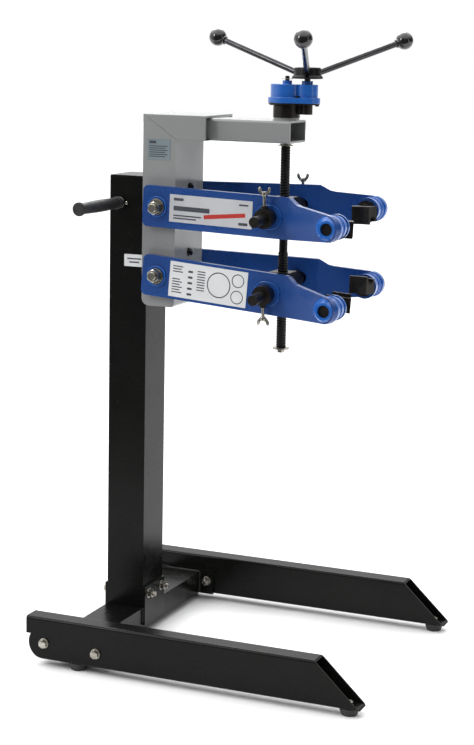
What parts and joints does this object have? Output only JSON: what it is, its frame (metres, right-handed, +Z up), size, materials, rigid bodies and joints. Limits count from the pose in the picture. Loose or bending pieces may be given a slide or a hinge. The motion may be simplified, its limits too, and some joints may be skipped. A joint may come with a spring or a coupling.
{
  "type": "coil spring compressor",
  "caption": "Free-standing workshop press that pulls paired pivoting arms together with one geared screw to squeeze a coil spring held in swivelling jaws.",
  "frame": {"origin": "on the floor, at the middle of the legs' length and width", "axes": "+X towards the jaws, +Y to the left when facing the jaws from behind, +Z up"},
  "size_m": [0.826, 0.7168, 1.4797],
  "materials": {
    "black_paint": "gloss black enamel",
    "silver_paint": "light silver-grey enamel",
    "blue_paint": "medium blue enamel",
    "black_rubber": "matt black",
    "zinc": "bright zinc plate",
    "plate": "blank printed plate",
    "black_oxide": "black oxide",
    "gear_steel": "dark polished steel",
    "knob": "gloss black",
    "wheel": "black nylon"
  },
  "bodies": {
    "stand": {"right_leg": "black_paint", "left_leg": "black_paint", "cross_member": "black_paint", "end_plates": "black_paint", "rubber_feet": "black_rubber", "foot_bolts": "zinc", "base_bolts": "zinc", "axle_bolts": "zinc", "column_brackets": "black_paint", "column_bolts": "zinc", "column": "black_paint", "column_cap": "black_paint", "push_bar": "zinc", "grips": "black_rubber", "post": "silver_paint", "head": "silver_paint", "beam": "silver_paint", "frame_bolts": "black_oxide", "data_plates": "plate", "pivot_bolts": "zinc", "pivot_nuts": "zinc", "bearing_housing": "black_oxide", "gear_base": "black_oxide", "gear_case": "blue_paint", "case_screws": "black_oxide"},
    "handle": {"pinion": "gear_steel", "handle_hub": "gear_steel", "spokes": "gear_steel", "knobs": "knob"},
    "screw": {"lead_screw": "black_oxide", "screw_washers": "zinc", "screw_gear": "gear_steel"},
    "right_wheel": {"right_wheel": "wheel"},
    "left_wheel": {"left_wheel": "wheel"},
    "upper_trunnion": {"upper_trunnion": "black_oxide", "upper_nut": "black_oxide"},
    "lower_trunnion": {"lower_trunnion": "black_oxide", "lower_nut": "black_oxide"},
    "right_upper_rocker": {"right_upper_rocker": "zinc"},
    "right_upper_arm": {"right_upper_arm": "blue_paint", "upper_arm_plate": "plate"},
    "right_upper_jaw": {"right_upper_jaw": "black_oxide"},
    "right_upper_collar": {"right_upper_collar": "black_oxide"},
    "right_upper_wing_screw": {"right_upper_wing_screw": "zinc"},
    "left_upper_rocker": {"left_upper_rocker": "zinc"},
    "left_upper_arm": {"left_upper_arm": "blue_paint"},
    "left_upper_jaw": {"left_upper_jaw": "black_oxide"},
    "left_upper_collar": {"left_upper_collar": "black_oxide"},
    "left_upper_wing_screw": {"left_upper_wing_screw": "zinc"},
    "right_lower_rocker": {"right_lower_rocker": "zinc"},
    "right_lower_arm": {"right_lower_arm": "blue_paint", "lower_arm_plate": "plate"},
    "right_lower_jaw": {"right_lower_jaw": "black_oxide"},
    "right_lower_collar": {"right_lower_collar": "black_oxide"},
    "right_lower_wing_screw": {"right_lower_wing_screw": "zinc"},
    "left_lower_rocker": {"left_lower_rocker": "zinc"},
    "left_lower_arm": {"left_lower_arm": "blue_paint"},
    "left_lower_jaw": {"left_lower_jaw": "black_oxide"},
    "left_lower_collar": {"left_lower_collar": "black_oxide"},
    "left_lower_wing_screw": {"left_lower_wing_screw": "zinc"}
  },
  "joints": [
    {"name": "handle_turn", "type": "hinge", "parent": "stand", "child": "handle", "pos_m": [0.1238, 0, 1.4], "axis": [0, 0, 1], "range_deg": [-2520, 4680]},
    {"name": "screw_turn", "type": "hinge", "parent": "stand", "child": "screw", "pos_m": [0.0748, 0, 1.1], "axis": [0, 0, 1], "range_deg": [-2496, 1349]},
    {"name": "upper_nut_travel", "type": "slide", "parent": "stand", "child": "upper_trunnion", "axis": [0, 0, 1], "range_m": [-0.02411, 0.04435]},
    {"name": "lower_nut_travel", "type": "slide", "parent": "stand", "child": "lower_trunnion", "axis": [0, 0, 1], "range_m": [-0.04435, 0.02411]},
    {"name": "right_upper_tilt", "type": "hinge", "parent": "stand", "child": "right_upper_rocker", "pos_m": [-0.204, 0, 1.069], "axis": [0, -1, 0], "range_deg": [-4.89, 8.99]},
    {"name": "right_upper_swing", "type": "hinge", "parent": "right_upper_rocker", "child": "right_upper_arm", "pos_m": [-0.204, -0.085, 1.069], "axis": [-0.0297, 0, -0.9996], "range_deg": [0, 2.4]},
    {"name": "right_upper_collar_slide", "type": "slide", "parent": "upper_trunnion", "child": "right_upper_collar", "axis": [0, -0.9978, -0.0665], "range_m": [-0.0002, 0.013]},
    {"name": "right_upper_wing_screw_turn", "type": "hinge", "parent": "right_upper_collar", "child": "right_upper_wing_screw", "pos_m": [0.0748, -0.12479, 1.09907], "axis": [0, -0.0665, 0.9978], "range_deg": [0, 1080]},
    {"name": "right_upper_jaw_swivel", "type": "hinge", "parent": "right_upper_arm", "child": "right_upper_jaw", "pos_m": [0.24231, -0.13, 1.04775], "axis": [0, -1, 0], "range_deg": [-20, 20]},
    {"name": "left_upper_tilt", "type": "hinge", "parent": "stand", "child": "left_upper_rocker", "pos_m": [-0.204, 0, 1.069], "axis": [0, -1, 0], "range_deg": [-4.89, 8.99]},
    {"name": "left_upper_swing", "type": "hinge", "parent": "left_upper_rocker", "child": "left_upper_arm", "pos_m": [-0.204, 0.085, 1.069], "axis": [-0.0175, 0, 0.9998], "range_deg": [0, 2.4]},
    {"name": "left_upper_collar_slide", "type": "slide", "parent": "upper_trunnion", "child": "left_upper_collar", "axis": [0, 0.9978, 0.0665], "range_m": [-0.0002, 0.013]},
    {"name": "left_upper_wing_screw_turn", "type": "hinge", "parent": "left_upper_collar", "child": "left_upper_wing_screw", "pos_m": [0.0748, 0.11947, 1.11534], "axis": [0, -0.0665, 0.9978], "range_deg": [0, 1080]},
    {"name": "left_upper_jaw_swivel", "type": "hinge", "parent": "left_upper_arm", "child": "left_upper_jaw", "pos_m": [0.24282, 0.13, 1.0688], "axis": [0, -1, 0], "range_deg": [-20, 20]},
    {"name": "right_lower_tilt", "type": "hinge", "parent": "stand", "child": "right_lower_rocker", "pos_m": [-0.204, 0, 0.906], "axis": [0, -1, 0], "range_deg": [-8.99, 4.89]},
    {"name": "right_lower_swing", "type": "hinge", "parent": "right_lower_rocker", "child": "right_lower_arm", "pos_m": [-0.204, -0.085, 0.906], "axis": [-0.0732, 0, -0.9973], "range_deg": [0, 2.4]},
    {"name": "right_lower_collar_slide", "type": "slide", "parent": "lower_trunnion", "child": "right_lower_collar", "axis": [0, -0.9971, -0.0764], "range_m": [-0.0002, 0.013]},
    {"name": "right_lower_wing_screw_turn", "type": "hinge", "parent": "right_lower_collar", "child": "right_lower_wing_screw", "pos_m": [0.0748, -0.11899, 0.84385], "axis": [0, 0.0764, -0.9971], "range_deg": [0, 1080]},
    {"name": "right_lower_jaw_swivel", "type": "hinge", "parent": "right_lower_arm", "child": "right_lower_jaw", "pos_m": [0.24096, -0.13, 0.8653], "axis": [0, -1, 0], "range_deg": [-20, 20]},
    {"name": "left_lower_tilt", "type": "hinge", "parent": "stand", "child": "left_lower_rocker", "pos_m": [-0.204, 0, 0.906], "axis": [0, -1, 0], "range_deg": [-8.99, 4.89]},
    {"name": "left_lower_swing", "type": "hinge", "parent": "left_lower_rocker", "child": "left_lower_arm", "pos_m": [-0.204, 0.085, 0.906], "axis": [0.0192, 0, 0.9998], "range_deg": [0, 2.4]},
    {"name": "left_lower_collar_slide", "type": "slide", "parent": "lower_trunnion", "child": "left_lower_collar", "axis": [0, 0.9971, 0.0764], "range_m": [-0.0002, 0.013]},
    {"name": "left_lower_wing_screw_turn", "type": "hinge", "parent": "left_lower_collar", "child": "left_lower_wing_screw", "pos_m": [0.0748, 0.1251, 0.86256], "axis": [0, 0.0764, -0.9971], "range_deg": [0, 1080]},
    {"name": "left_lower_jaw_swivel", "type": "hinge", "parent": "left_lower_arm", "child": "left_lower_jaw", "pos_m": [0.24251, 0.13, 0.88943], "axis": [0, -1, 0], "range_deg": [-20, 20]},
    {"name": "right_wheel_roll", "type": "hinge", "parent": "stand", "child": "right_wheel", "pos_m": [-0.366, -0.323, 0.0585], "axis": [0, 1, 0], "continuous": true},
    {"name": "left_wheel_roll", "type": "hinge", "parent": "stand", "child": "left_wheel", "pos_m": [-0.366, 0.323, 0.0585], "axis": [0, 1, 0], "continuous": true}
  ],
  "couplings": [
    {"joint": "screw_turn", "follows": "handle_turn", "ratio": -0.53125},
    {"joint": "upper_nut_travel", "follows": "handle_turn", "m_per_rad": 0.0005369},
    {"joint": "lower_nut_travel", "follows": "handle_turn", "m_per_rad": -0.0005369},
    {"joint": "right_upper_tilt", "follows": "handle_turn", "ratio": 0.0018999},
    {"joint": "right_upper_collar_slide", "follows": "right_upper_swing", "m_per_rad": 0.281},
    {"joint": "left_upper_tilt", "follows": "handle_turn", "ratio": 0.0018999},
    {"joint": "left_upper_collar_slide", "follows": "left_upper_swing", "m_per_rad": 0.281},
    {"joint": "right_lower_tilt", "follows": "handle_turn", "ratio": -0.0018999},
    {"joint": "right_lower_collar_slide", "follows": "right_lower_swing", "m_per_rad": 0.281},
    {"joint": "left_lower_tilt", "follows": "handle_turn", "ratio": -0.0018999},
    {"joint": "left_lower_collar_slide", "follows": "left_lower_swing", "m_per_rad": 0.281}
  ]
}
